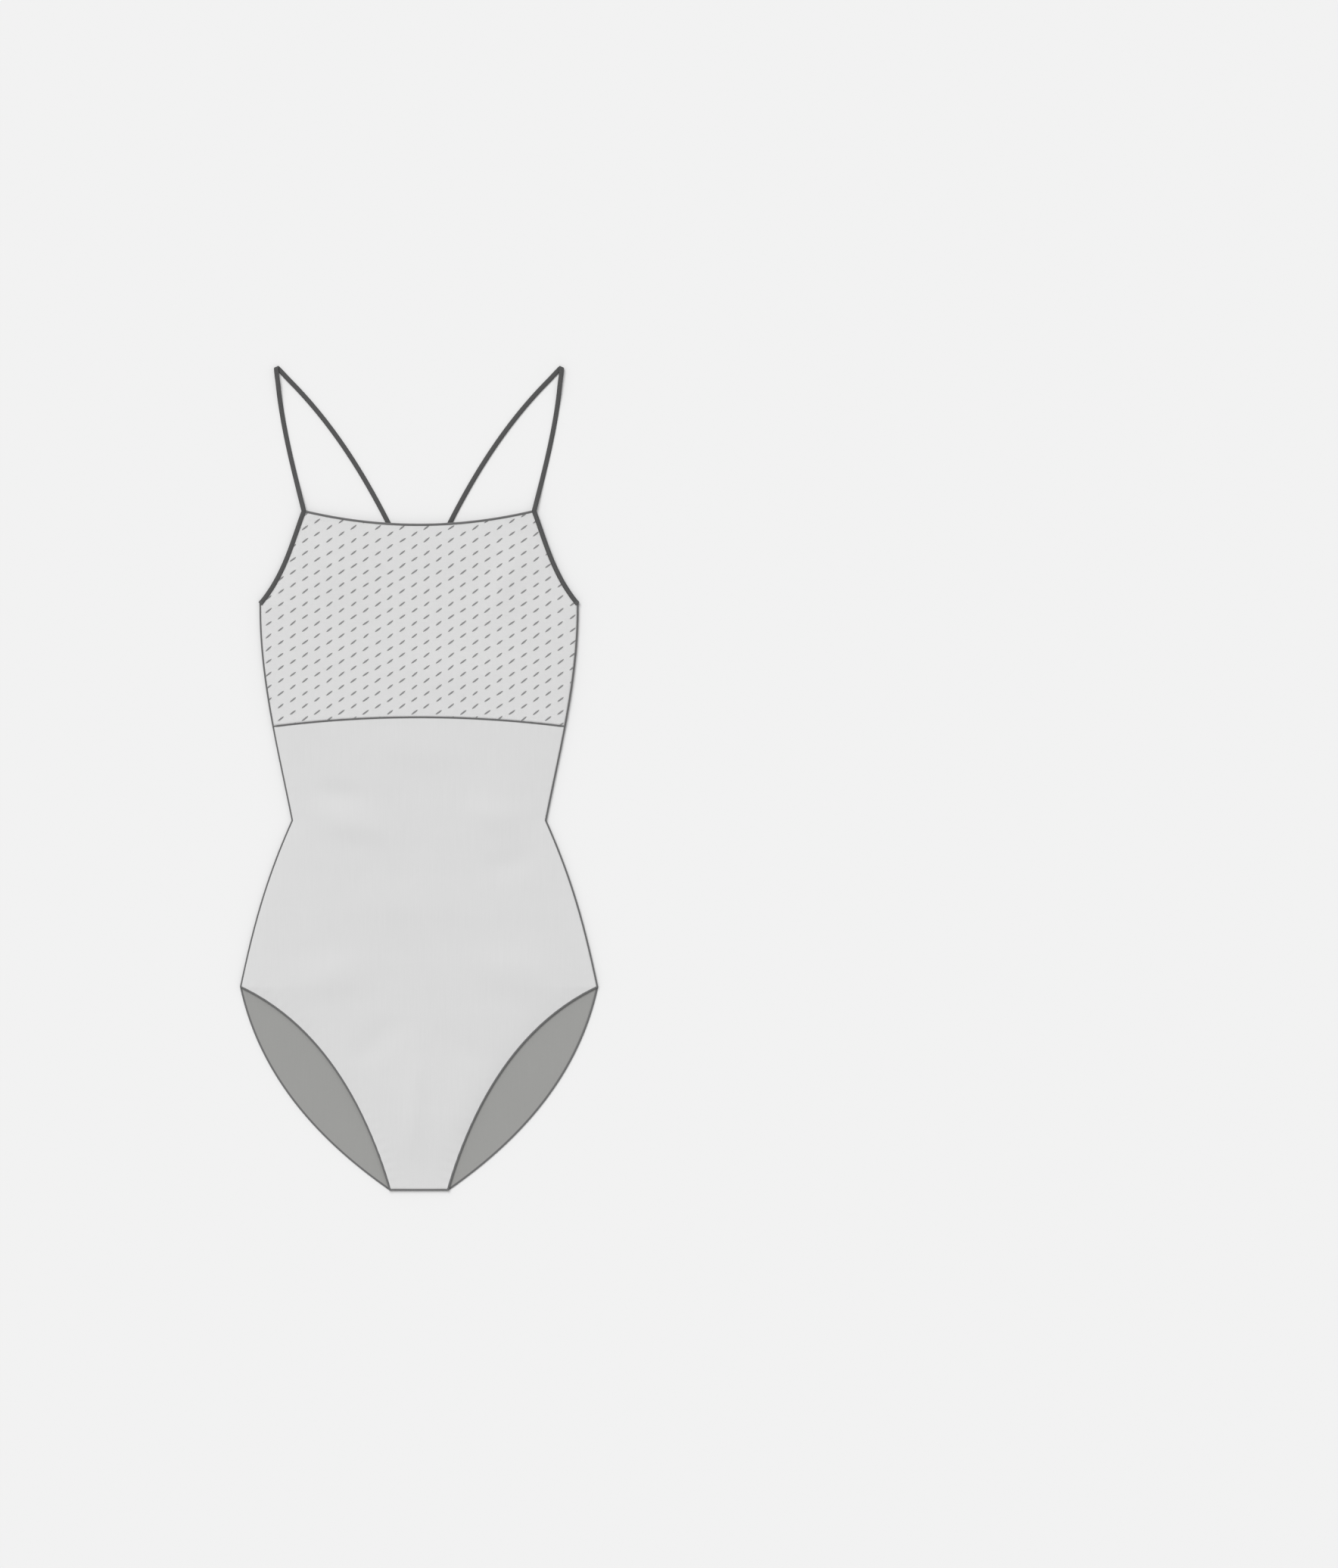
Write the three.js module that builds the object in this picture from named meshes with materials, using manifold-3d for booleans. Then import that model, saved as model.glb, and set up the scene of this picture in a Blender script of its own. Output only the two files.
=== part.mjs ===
// A camisole ballet leotard with crossed back straps, laid flat on its back with the front up.
// The back is a seat panel with an unlined net yoke above it. The front is a body panel with a lined net yoke.
// On each side one binding strip edges the front armhole, runs on as the shoulder strap, folds over at the
// shoulder, crosses the other strip at the centre back and edges the far half of the back neckline.
// Millimetres, +Z up out of the front, +Y towards the straps, +X to the right as the front is looked at.
// The names say left and right in the same way. The origin is on the floor at the middle of the length.
import * as THREE from "three";
import { mergeVertices } from "three/addons/utils/BufferGeometryUtils.js";
import Module from "manifold-3d";

const wasm = await Module();
wasm.setup();

// Driving dimensions. A height is measured up from the crotch seam, and a half width out from the centre front.
const point = (half, height) => new THREE.Vector2(half, height);
const overallLength = 740;
const crotch = point(26, 0);
const hip = point(160, 182.2);
const waist = point(113.6, 331.6);
const underarm = point(142.4, 526.4);
const frontCorner = point(103.4, 609.6);
const shoulder = point(127.6, 737.8);
const backPoint = point(0, 540);
const neckDip = 12.4;
const yokeSeam = { height: 416.2, frontRise: 8.2, backDip: 8.9 };

// Cloth and trim sizes.
const bodyWall = 1.4;
const netWall = 1;
const liningWall = 1;
const seamGap = 0.3;
const yokeThick = liningWall + seamGap + netWall;
const strip = { width: 4.2, thick: 1.4 };
const narrowWidth = 1.9;

// How the garment lies: the slack in the front, the strap's roll at the shoulder, and its step over at the back.
const slack = 2.6;
const foldRadius = 1;
const strapFall = { fromCorner: 34, fromFold: 42, beforeFold: 12 };
const crossing = { lift: strip.thick + seamGap, flat: 12, ramp: 14 };

// How finely the shapes are divided.
const panelColumns = 14;
const rowStep = 24;
const foldSteps = 6;

// The right half's edges. Each is a cubic curve from one point to another with its two handles between.
const edge = {
  hipSide: new THREE.CubicBezierCurve(hip, point(148.4, 237.3), point(137, 279.5), waist),
  side: new THREE.CubicBezierCurve(waist, point(126.2, 395.5), point(143, 458.9), underarm),
  frontLeg: new THREE.CubicBezierCurve(crotch, point(48, 77.6), point(89.4, 148.9), hip),
  backLeg: new THREE.CubicBezierCurve(crotch, point(78.1, 36.6), point(140.9, 93.1), hip),
  armhole: new THREE.CubicBezierCurve(underarm, point(120.6, 552.5), point(113.6, 582.4), frontCorner),
  frontStrap: new THREE.CubicBezierCurve(frontCorner, point(114.2, 652), point(125.6, 695.5), shoulder),
  backStrap: new THREE.CubicBezierCurve(shoulder, point(68.6, 683.2), point(32.7, 614.5), backPoint),
  backTop: new THREE.CubicBezierCurve(backPoint, point(35.8, 500), point(104.1, 511.9), underarm),
};

// Lists of points, mirrored to the left half or run the other way.
const asDrawn = (points) => [...points];
const mirrored = (points) => points.map((p) => point(-p.x, p.y));
const reversed = (points) => [...points].reverse();

// The plan lines that both a panel and its binding follow.
const line = {
  frontLeg: edge.frontLeg.getPoints(12),
  backLeg: edge.backLeg.getPoints(12),
  armhole: edge.armhole.getPoints(8),
  frontStrap: edge.frontStrap.getPoints(12),
  backStrap: edge.backStrap.getPoints(18),
  backTop: edge.backTop.getPoints(14),
  neck: Array.from({ length: panelColumns + 1 }, (_, i) => {
    const u = (2 * i) / panelColumns - 1;
    return point(u * frontCorner.x, frontCorner.y - neckDip * (1 - u * u));
  }),
};

// A smooth step from 0 to 1.
const smooth = (value) => THREE.MathUtils.smoothstep(value, 0, 1);

// An edge's half width at a height, by halving, on an edge that only rises.
function halfAt(curve, height) {
  let [low, high] = [0, 1];
  for (let i = 0; i < 30; i++) {
    const middle = (low + high) / 2;
    if (curve.getPoint(middle).y < height) low = middle;
    else high = middle;
  }
  return curve.getPoint(low).x;
}

// The front cloth's half width at a height: leg edge, side seam, then armhole.
function frontHalf(height) {
  if (height < hip.y) return halfAt(edge.frontLeg, height);
  if (height < waist.y) return halfAt(edge.hipSide, height);
  if (height < underarm.y) return halfAt(edge.side, height);
  return halfAt(edge.armhole, height);
}

// The underside of the front cloth. It meets the back at the side seams, the legs and the crotch, and lies
// loosely over it between them.
function frontUnder(half, height) {
  const across = Math.min(1, Math.abs(half) / frontHalf(height));
  const fromCrotch = smooth(height / 70);
  const nearNeck = 1 - 0.4 * smooth((height - 560) / 50);
  return bodyWall + seamGap + slack * (1 - across ** 5) * fromCrotch * nearNeck;
}

// A place in the part's own frame.
const toFrame = (half, height, up) => new THREE.Vector3(half, height - overallLength / 2, up);

function geometryOf(vertices, triangles) {
  const geometry = new THREE.BufferGeometry();
  geometry.setAttribute("position", new THREE.Float32BufferAttribute(vertices.flatMap((v) => v.toArray()), 3));
  geometry.setIndex(triangles);
  return geometry;
}

// A panel that lies flat on the floor: the right half of its outline, from centre to centre, and its mirror.
function flatPanel(rightHalf, wall) {
  const leftHalf = reversed(mirrored(rightHalf)).filter((p) => p.x < 0);
  const outline = new THREE.Shape([...rightHalf, ...leftHalf]);
  const slab = new THREE.ExtrudeGeometry(outline, { depth: wall, bevelEnabled: false });
  slab.translate(0, -overallLength / 2, 0);
  slab.deleteAttribute("normal");
  slab.deleteAttribute("uv");
  return mergeVertices(slab, 1e-4);
}

// A panel over the back: a row of points for each place up its outline. The foot's arch fades from row to row
// into the top's arch. The wall has one thickness over the underside's height field.
function loosePanel({ outline, footArch, topArch, lift, wall }) {
  const vertices = [];
  const [foot, top] = [outline[0].y, outline.at(-1).y];
  for (const face of [lift, lift + wall])
    for (const { x: half, y: level } of outline) {
      const share = (level - foot) / (top - foot);
      for (let i = 0; i <= panelColumns; i++) {
        const u = (2 * i) / panelColumns - 1;
        const height = level + (share * topArch + (1 - share) * footArch) * (1 - u * u);
        vertices.push(toFrame(u * half, height, frontUnder(u * half, height) + face));
      }
    }
  const columns = panelColumns + 1;
  const layer = outline.length * columns;
  const triangles = [];
  const quad = (a, b, c, d) => triangles.push(a, b, c, a, c, d);
  for (let row = 0; row + 1 < outline.length; row++) {
    const left = row * columns;
    const right = left + panelColumns;
    for (let a = left; a < right; a++) {
      quad(a, a + columns, a + columns + 1, a + 1);
      quad(layer + a, layer + a + 1, layer + a + columns + 1, layer + a + columns);
    }
    quad(left + columns, left, layer + left, layer + left + columns);
    quad(right, right + columns, layer + right + columns, layer + right);
  }
  for (let i = 0; i < panelColumns; i++) {
    const last = layer - columns + i;
    quad(i, i + 1, layer + i + 1, layer + i);
    quad(last + 1, last, layer + last, layer + last + 1);
  }
  return geometryOf(vertices, triangles);
}

// Sections of a band, in parts of its width across and of its thickness outwards.
const softSection = [
  [-0.5, -0.5],
  [0.5, -0.5],
  [0.5, 0.15],
  [0.3, 0.5],
  [-0.3, 0.5],
  [-0.5, 0.15],
];
const squareSection = [
  [-0.5, -0.5],
  [0.5, -0.5],
  [0.5, 0.5],
  [-0.5, 0.5],
];

// A band through rings. A ring has its centre, its outer face's direction, its way along and its thickness.
function band(rings, width, section = softSection) {
  const vertices = rings.flatMap(({ at, out, along, thick, stretch }) => {
    const across = new THREE.Vector3().crossVectors(along, out).normalize().multiplyScalar(width * stretch);
    return section.map(([a, o]) => at.clone().addScaledVector(across, a).addScaledVector(out, o * thick));
  });
  const sides = section.length;
  const last = vertices.length - sides;
  const triangles = [];
  for (let ring = 0; ring < last; ring += sides)
    for (let i = 0; i < sides; i++) {
      const [a, b] = [ring + i, ring + ((i + 1) % sides)];
      triangles.push(a, b + sides, b, a, a + sides, b + sides);
    }
  for (let i = 1; i + 1 < sides; i++) {
    triangles.push(0, i, i + 1);
    triangles.push(last, last + i + 1, last + i);
  }
  return geometryOf(vertices, triangles);
}

// Rings along plan points, outer face up or down, mitred where the line turns. A point before or after the
// line gives its end the mitre of a corner there. The middle height comes from the point and the run so far.
function ringsAlong(points, { out = 1, thick, middle, before, after }) {
  let run = 0;
  return points.map((p, i) => {
    const previous = points[i - 1] ?? before ?? p.clone().multiplyScalar(2).sub(points[1]);
    const next = points[i + 1] ?? after ?? p.clone().multiplyScalar(2).sub(previous);
    const arriving = p.clone().sub(previous).normalize();
    const leaving = next.clone().sub(p).normalize();
    const along = arriving.clone().add(leaving).normalize();
    if (i > 0) run += p.distanceTo(previous);
    return {
      at: toFrame(p.x, p.y, middle(p, run)),
      out: new THREE.Vector3(0, 0, out),
      along: new THREE.Vector3(along.x, along.y, 0),
      thick,
      stretch: 1 / along.dot(arriving),
    };
  });
}

// Booleans. A bound edge takes a tall band away from its panel, wider than the binding by a seam gap each side.
function solidOf(geometry) {
  return new wasm.Manifold(
    new wasm.Mesh({
      numProp: 3,
      vertProperties: new Float32Array(geometry.attributes.position.array),
      triVerts: new Uint32Array(geometry.index.array),
    }),
  );
}

function cutBy(geometry, cutters) {
  const solid = cutters.reduce((rest, cutter) => rest.subtract(cutter), solidOf(geometry));
  const mesh = solid.getMesh();
  const cut = new THREE.BufferGeometry();
  cut.setAttribute("position", new THREE.BufferAttribute(new Float32Array(mesh.vertProperties), 3));
  cut.setIndex(new THREE.BufferAttribute(new Uint32Array(mesh.triVerts), 1));
  return cut;
}

function edgeCutter(points, width) {
  const overrun = 6;
  const first = points[0].clone().add(points[0].clone().sub(points[1]).setLength(overrun));
  const last = points.at(-1).clone().add(points.at(-1).clone().sub(points.at(-2)).setLength(overrun));
  const rings = ringsAlong([first, ...points, last], { thick: 60, middle: () => 0 });
  return solidOf(band(rings, width + 2 * seamGap, squareSection));
}

// The front strap comes down from the corner onto the floor, and climbs again to the fold over the back strap.
function frontStrapMiddle(_, run) {
  const length = edge.frontStrap.getLength();
  const fall = smooth(run / strapFall.fromCorner);
  const climb = smooth((run - length + strapFall.fromFold) / (strapFall.fromFold - strapFall.beforeFold));
  const corner = bodyWall + seamGap + yokeThick / 2;
  const fold = strip.thick / 2 + 2 * foldRadius;
  const raised = THREE.MathUtils.lerp(corner, fold, smooth(run / length));
  return THREE.MathUtils.lerp(raised, strip.thick / 2, fall * (1 - climb));
}

// At the shoulder the strip rolls over a slanted crease that turns it towards the centre back.
function foldRings(flip) {
  const [front, back] = [flip(line.frontStrap), flip(line.backStrap)];
  const leaving = front.at(-1).clone().sub(front.at(-2)).normalize();
  const returning = back[1].clone().sub(back[0]).normalize();
  const crease = leaving.clone().add(returning).normalize();
  const slant = leaving.dot(crease);
  const beyond = leaving.clone().addScaledVector(crease, -slant).normalize();
  const onward = leaving.dot(beyond);
  return Array.from({ length: foldSteps + 1 }, (_, i) => {
    const turn = (Math.PI * i) / foldSteps;
    const slide = (slant / onward) * foldRadius * (turn - Math.PI / 2);
    const place = front.at(-1).clone().addScaledVector(crease, slide);
    place.addScaledVector(beyond, foldRadius * Math.sin(turn));
    const along = crease.clone().multiplyScalar(slant).addScaledVector(beyond, onward * Math.cos(turn));
    return {
      at: toFrame(place.x, place.y, strip.thick / 2 + foldRadius * (1 + Math.cos(turn))),
      out: new THREE.Vector3(beyond.x * Math.sin(turn), beyond.y * Math.sin(turn), Math.cos(turn)),
      along: new THREE.Vector3(along.x, along.y, -onward * Math.sin(turn)),
      thick: strip.thick,
      stretch: 1,
    };
  });
}

// One side's strip as three bands in line, a seam gap apart: armhole, strap, and back neckline past the crossing.
function stripBands(flip, lift) {
  const overArmhole = ringsAlong(flip(line.armhole), {
    thick: yokeThick,
    middle: (p) => frontUnder(p.x, p.y) + yokeThick / 2,
    after: flip(line.frontStrap)[1],
  });
  const overChest = ringsAlong(flip(line.frontStrap), {
    thick: strip.thick,
    middle: frontStrapMiddle,
    before: flip(line.armhole).at(-2),
  });
  const route = [...flip(line.backStrap), ...mirrored(flip(line.backTop)).slice(1)];
  const behind = ringsAlong(route, {
    out: -1,
    thick: strip.thick,
    middle: (p) => strip.thick / 2 + lift * (1 - smooth((p.distanceTo(backPoint) - crossing.flat) / crossing.ramp)),
  });
  const pastCrossing = line.backStrap.length + 1;
  const strap = [...overChest.slice(0, -1), ...foldRings(flip), ...behind.slice(1, pastCrossing)];
  const trimmed = (rings) => {
    const pull = (ring, by) => ({ ...ring, at: ring.at.clone().addScaledVector(ring.along, by) });
    return [pull(rings[0], seamGap / 2), ...rings.slice(1, -1), pull(rings.at(-1), -seamGap / 2)];
  };
  return {
    armhole: band(trimmed(overArmhole), strip.width),
    strap: band(trimmed(strap), strip.width),
    backNeck: band(trimmed(behind.slice(pastCrossing - 1)), strip.width),
    backCutter: edgeCutter(route, strip.width),
  };
}

const strips = { left: stripBands(mirrored, 0), right: stripBands(asDrawn, crossing.lift) };
const onBothSides = (points, width) => [edgeCutter(points, width), edgeCutter(mirrored(points), width)];

// Outlines, up the right half. Rows of a side seam are evenly spaced.
function sideRows(curve, low, high) {
  const steps = Math.ceil((high - low) / rowStep);
  return Array.from({ length: steps + 1 }, (_, i) => {
    const height = THREE.MathUtils.lerp(low, high, i / steps);
    return point(halfAt(curve, height), height);
  });
}

const bodyOutline = (legLine) => [
  ...legLine,
  ...sideRows(edge.hipSide, hip.y, waist.y).slice(1),
  ...sideRows(edge.side, waist.y, yokeSeam.height - seamGap / 2).slice(1),
];
const yokeOutline = sideRows(edge.side, yokeSeam.height + seamGap / 2, underarm.y);

// The back yoke seam, from its side to the centre, a little below or above the seam line.
function backSeam(gap) {
  const side = halfAt(edge.side, yokeSeam.height);
  return Array.from({ length: 8 }, (_, i) => {
    const u = 1 - i / 7;
    return point(u * side, yokeSeam.height + gap - yokeSeam.backDip * (1 - u * u));
  });
}

// Materials.
const cloth = (colour, roughness) => new THREE.MeshStandardMaterial({ color: colour, roughness, metalness: 0 });
const jersey = cloth(0xdadada, 0.75);
const jerseyInside = cloth(0xc9c9c8, 0.8);
const net = cloth(0xe6e6e6, 0.85);
const elastic = cloth(0x4e4e4e, 0.6);
const edging = cloth(0x6b6b6b, 0.65);

const leotard = new THREE.Group();
function add(name, geometry, material) {
  const mesh = new THREE.Mesh(geometry, material);
  mesh.name = name;
  leotard.add(mesh);
}

// The back, on the floor: the seat panel and the net yoke above it.
const backBody = flatPanel([...bodyOutline(line.backLeg).slice(0, -1), ...backSeam(-seamGap / 2)], bodyWall);
const backYoke = flatPanel(
  [...reversed(backSeam(seamGap / 2)), ...yokeOutline.slice(1), ...reversed(line.backTop).slice(1)],
  netWall,
);
add("back_body", cutBy(backBody, onBothSides(line.backLeg, narrowWidth)), jerseyInside);
add("back_yoke", cutBy(backYoke, [strips.left.backCutter, strips.right.backCutter]), net);

// The front, over the back: the body panel, then the yoke's lining and its net.
const frontBody = loosePanel({
  outline: bodyOutline(line.frontLeg),
  footArch: 0,
  topArch: yokeSeam.frontRise,
  lift: 0,
  wall: bodyWall,
});
const frontYokeLayer = (lift, wall) =>
  loosePanel({
    outline: [...yokeOutline, ...line.armhole.slice(1)],
    footArch: yokeSeam.frontRise,
    topArch: -neckDip,
    lift,
    wall,
  });
const armholeCutters = onBothSides(line.armhole, strip.width);
const yokeCutters = [...armholeCutters, edgeCutter(line.neck, narrowWidth)];
add("front_body", cutBy(frontBody, onBothSides(line.frontLeg, narrowWidth)), jersey);
add("front_lining", cutBy(frontYokeLayer(0, liningWall), yokeCutters), jersey);
add("front_yoke", cutBy(frontYokeLayer(liningWall + seamGap, netWall), yokeCutters), net);

// The narrow bindings of the neckline and of the leg openings. A leg's ends flush with the crotch seam.
const overFront = (thick) => (p) => frontUnder(p.x, p.y) + thick / 2;
const neckBand = band(ringsAlong(line.neck, { thick: yokeThick, middle: overFront(yokeThick) }), narrowWidth);
const neckEnds = [...armholeCutters, ...onBothSides(line.frontStrap, strip.width)];
add("neck_binding", cutBy(neckBand, neckEnds), edging);
for (const [side, flip] of Object.entries({ left: mirrored, right: asDrawn })) {
  for (const [name, legLine, out, middle] of [
    ["leg_binding_front_", flip(line.frontLeg), 1, overFront(bodyWall)],
    ["leg_binding_back_", flip(line.backLeg), -1, () => bodyWall / 2],
  ]) {
    const before = point(legLine[1].x, -legLine[1].y);
    const rings = ringsAlong(legLine, { out, thick: bodyWall, middle, before });
    add(name + side, band(rings, narrowWidth), edging);
  }
}

// The two strips. The far half of the back neckline belongs to the strap from the other shoulder.
for (const [side, farSide] of [
  ["left", "right"],
  ["right", "left"],
]) {
  add("armhole_binding_" + side, strips[side].armhole, elastic);
  add("strap_" + side, strips[side].strap, elastic);
  add("back_binding_" + farSide, strips[side].backNeck, elastic);
}

export default leotard;
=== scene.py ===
# A camisole ballet leotard laid flat on its back with the front up: its cloth, bindings, seams and finishes,
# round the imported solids.
import math

import bpy
import numpy as np
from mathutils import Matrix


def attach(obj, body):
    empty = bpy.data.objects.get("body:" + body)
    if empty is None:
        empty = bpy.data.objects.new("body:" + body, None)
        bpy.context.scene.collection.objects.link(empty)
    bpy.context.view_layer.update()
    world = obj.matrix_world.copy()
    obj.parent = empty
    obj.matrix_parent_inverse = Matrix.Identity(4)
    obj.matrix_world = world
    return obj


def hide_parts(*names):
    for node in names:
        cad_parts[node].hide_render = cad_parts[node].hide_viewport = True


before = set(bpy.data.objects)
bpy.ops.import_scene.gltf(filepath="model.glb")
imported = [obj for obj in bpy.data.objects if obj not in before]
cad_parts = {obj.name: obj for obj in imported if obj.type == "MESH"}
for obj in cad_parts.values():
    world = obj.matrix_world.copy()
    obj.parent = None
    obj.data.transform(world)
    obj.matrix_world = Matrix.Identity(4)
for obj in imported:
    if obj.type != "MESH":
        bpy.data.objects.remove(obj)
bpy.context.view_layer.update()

# Places, in millimetres: x is the half width out from the centre front, y the height up from the crotch seam.
mm = 0.001
halfLength = 370
edges = {
    "hipSide": ((160, 182.2), (148.4, 237.3), (137, 279.5), (113.6, 331.6)),
    "side": ((113.6, 331.6), (126.2, 395.5), (143, 458.9), (142.4, 526.4)),
    "frontLeg": ((26, 0), (48, 77.6), (89.4, 148.9), (160, 182.2)),
    "backLeg": ((26, 0), (78.1, 36.6), (140.9, 93.1), (160, 182.2)),
    "armhole": ((142.4, 526.4), (120.6, 552.5), (113.6, 582.4), (103.4, 609.6)),
    "frontStrap": ((103.4, 609.6), (114.2, 652), (125.6, 695.5), (127.6, 737.8)),
    "backStrap": ((127.6, 737.8), (68.6, 683.2), (32.7, 614.5), (0, 540)),
    "backTop": ((0, 540), (35.8, 500), (104.1, 511.9), (142.4, 526.4)),
}
neck = {"half": 103.4, "height": 609.6, "dip": 12.4}
yokeSeam = {"half": 130.4, "height": 416.2, "frontRise": 8.2, "backDip": 8.9}
lay = {"backTop": 1.4, "gap": 0.3, "slack": 2.6, "stitchRest": 0.12, "clear": 0.15}
slackShape = {"power": 5, "rise": 70, "neckFrom": 560, "neckRun": 50, "neckLess": 0.4, "edgePower": 24}
pointCount = {"curve": 500, "arc": 241, "batch": 4000}


# A smooth step: 3 t t - 2 t t t, with t held between 0 and 1.
def smooth(value):
    t = np.clip(value, 0, 1)
    return t * t * (3 - 2 * t)


def unit(vector):
    return vector / np.linalg.norm(vector)


# How far along a polyline each of its points is.
def runOf(points):
    steps = np.linalg.norm(np.diff(points, axis=0), axis=1)
    return np.concatenate([[0], np.cumsum(steps)])


# Rows of values at places along a run.
def rowsAt(places, run, rows):
    return np.stack([np.interp(places, run, column) for column in rows.T], axis=-1)


# Points at even steps along a polyline, with both ends kept, and other rows of values at the same places.
def evenly(points, spacing, *others):
    run = runOf(points)
    places = np.linspace(0, run[-1], max(2, round(run[-1] / spacing)) + 1)
    even = [rowsAt(places, run, rows) for rows in (points, *others)]
    return even if others else even[0]


# A cubic curve: (1-t)^3 a + 3 t (1-t)^2 b + 3 t^2 (1-t) c + t^3 d.
def edgePoints(name, spacing=0.5):
    a, b, c, d = np.array(edges[name], float)
    t = np.linspace(0, 1, pointCount["curve"])[:, None]
    dense = (1 - t) ** 3 * a + 3 * t * (1 - t) ** 2 * b + 3 * t**2 * (1 - t) * c + t**3 * d
    return evenly(dense, spacing)


# A line made longer at its start: p0 + (p0 - p1) / |p0 - p1| * reach.
def longer(points, reach, step=0.4):
    steps = np.arange(math.ceil(reach / step), 0, -1)[:, None] * step
    return np.concatenate([points[0] + unit(points[0] - points[1]) * np.minimum(steps, reach), points])


# The points of several edges in line, without the points that two of them share.
def joined(*parts):
    return np.concatenate([parts[0], *[part[1:] for part in parts[1:]]])


frontOutline = joined(*[edgePoints(n) for n in ("frontLeg", "hipSide", "side", "armhole")])


# The front cloth's half width at a height.
def frontHalf(y):
    return np.interp(y, frontOutline[:, 1], frontOutline[:, 0])


# Soft folds in the front cloth: two ends, half breadth and rise, which is below 0 in a trough.
folds = [
    {"from": (-111, 341), "to": (-12, 316), "breadth": 13, "rise": 1.7},
    {"from": (-108, 363), "to": (-34, 350), "breadth": 10, "rise": -1.0},
    {"from": (110, 327), "to": (30, 343), "breadth": 14, "rise": 1.5},
    {"from": (117, 301), "to": (44, 285), "breadth": 11, "rise": -1.0},
    {"from": (-146, 178), "to": (-20, 202), "breadth": 17, "rise": 1.6},
    {"from": (146, 181), "to": (18, 210), "breadth": 19, "rise": 1.5},
    {"from": (-68, 106), "to": (-6, 162), "breadth": 13, "rise": -1.1},
    {"from": (64, 100), "to": (10, 154), "breadth": 13, "rise": -1.0},
    {"from": (-6, 16), "to": (-2, 138), "breadth": 9, "rise": 1.1},
    {"from": (-101, 598), "to": (-44, 506), "breadth": 13, "rise": 1.2},
    {"from": (101, 596), "to": (52, 496), "breadth": 13, "rise": 1.1},
    {"from": (-74, 404), "to": (58, 389), "breadth": 16, "rise": 0.9},
    {"from": (-90, 263), "to": (70, 245), "breadth": 21, "rise": 1.1},
    {"from": (-40, 471), "to": (96, 455), "breadth": 18, "rise": 0.8},
]

# Seams and bound edges that draw the cloth into small puckers, and how uneven the puckers are.
puckers = {
    "neck": {"wavelength": 7.3, "depth": 0.10, "reach": 7},
    "frontSeam": {"wavelength": 8.1, "depth": 0.12, "reach": 9},
    "frontLeg": {"wavelength": 9.2, "depth": 0.16, "reach": 10},
    "side": {"wavelength": 11.0, "depth": 0.10, "reach": 9},
}
puckerDrift = {"bend": 1.7, "bendRun": 23, "least": 0.65, "swing": 0.35, "swingRun": 31, "swingStart": 0.8}
puckerStep = 2


# The height of a shallow arc: height + rise (1 - u u), with u from -1 to 1 across it.
def arcHeight(u, height, rise):
    return height + rise * (1 - u * u)


def arcPoints(half, height, rise):
    u = np.linspace(-1, 1, pointCount["arc"])
    return np.stack([u * half, arcHeight(u, height, rise)], axis=1)


# The neckline, and a yoke seam, from one side to the other.
def neckPoints():
    return arcPoints(neck["half"], neck["height"], -neck["dip"])


def seamPoints(rise):
    return arcPoints(yokeSeam["half"], yokeSeam["height"], rise)


# Each point's distance from an even line, and how far along the line the nearest place is: the nearest of its
# own points, then up to half a step along the line from there.
def nearTo(line, x, y):
    run = runOf(line)
    ahead = np.gradient(line, axis=0)
    ahead /= np.linalg.norm(ahead, axis=1, keepdims=True)
    spots = np.stack([np.ravel(x), np.ravel(y)], axis=1)
    distance, place = np.empty(len(spots)), np.empty(len(spots))
    for start in range(0, len(spots), pointCount["batch"]):
        part = slice(start, start + pointCount["batch"])
        nearest = np.linalg.norm(spots[part, None] - line, axis=2).argmin(axis=1)
        off = spots[part] - line[nearest]
        further = np.clip((off * ahead[nearest]).sum(axis=1), -run[1] / 2, run[1] / 2)
        distance[part] = np.linalg.norm(off - further[:, None] * ahead[nearest], axis=1)
        place[part] = run[nearest] + further
    return distance.reshape(np.shape(x)), place.reshape(np.shape(x))


hipToYoke = joined(edgePoints("hipSide", puckerStep), edgePoints("side", puckerStep))
puckerLines = {
    "neck": [evenly(neckPoints(), puckerStep)],
    "frontSeam": [evenly(seamPoints(yokeSeam["frontRise"]), puckerStep)],
    "frontLeg": [edgePoints("frontLeg", puckerStep) * (s, 1) for s in (-1, 1)],
    "side": [hipToYoke * (s, 1) for s in (-1, 1)],
}


# Lift of the folds: rise, times the square of a half wave along, times a bell across.
def foldLift(x, y):
    lift = np.zeros(np.shape(x))
    for soft in folds:
        start, end = np.array(soft["from"], float), np.array(soft["to"], float)
        length = np.linalg.norm(end - start)
        along = (end - start) / length
        share = ((x - start[0]) * along[0] + (y - start[1]) * along[1]) / length
        aside = ((x - start[0]) * along[1] - (y - start[1]) * along[0]) / soft["breadth"]
        inside = (share > 0) & (share < 1)
        lift += inside * soft["rise"] * np.sin(np.pi * np.clip(share, 0, 1)) ** 2 * np.exp(-aside * aside)
    return lift


# Lift of the puckers: a wave along the seam that fades away from it, uneven in its depth.
def puckerLift(x, y):
    lift = np.zeros(np.shape(x))
    drift = puckerDrift
    for name, pucker in puckers.items():
        for line in puckerLines[name]:
            distance, place = nearTo(line, x, y)
            bend = drift["bend"] * np.sin(place / drift["bendRun"])
            wave = np.sin(2 * np.pi * place / pucker["wavelength"] + bend)
            uneven = drift["least"] + drift["swing"] * np.sin(place / drift["swingRun"] + drift["swingStart"])
            lift += pucker["depth"] * wave * uneven * np.exp(-((distance / pucker["reach"]) ** 2))
    return lift


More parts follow.
